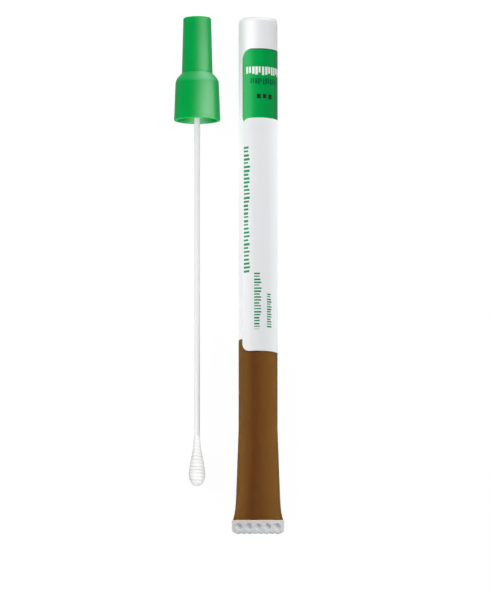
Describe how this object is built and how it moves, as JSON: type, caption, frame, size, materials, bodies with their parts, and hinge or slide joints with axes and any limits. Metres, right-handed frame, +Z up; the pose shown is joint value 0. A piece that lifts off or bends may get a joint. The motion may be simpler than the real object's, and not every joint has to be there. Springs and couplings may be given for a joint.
{
  "type": "specimen swab tube",
  "caption": "Crimped plastic specimen tube with brown gel medium and wrapped labels, lying beside its capped swab with a wound bud.",
  "frame": {"origin": "on the surface the tube and the swab lie on, below the middle of the two", "axes": "+Y along the tube towards its mouth and the cap's closed end, +X from the swab towards the tube, +Z up"},
  "size_m": [0.0352, 0.1664, 0.0148],
  "materials": {
    "tube_plastic": "satin",
    "gel_medium": "satin",
    "green_label": "satin",
    "white_label": "satin",
    "cap_plastic": "satin",
    "shaft_plastic": "satin",
    "bud_fibre": "matte"
  },
  "bodies": {
    "root": {"tube": "tube_plastic", "medium": "gel_medium", "batch_label": "green_label", "specimen_label": "white_label", "cap": "cap_plastic", "swab_shaft": "shaft_plastic", "swab_bud": "bud_fibre"}
  },
  "joints": []
}
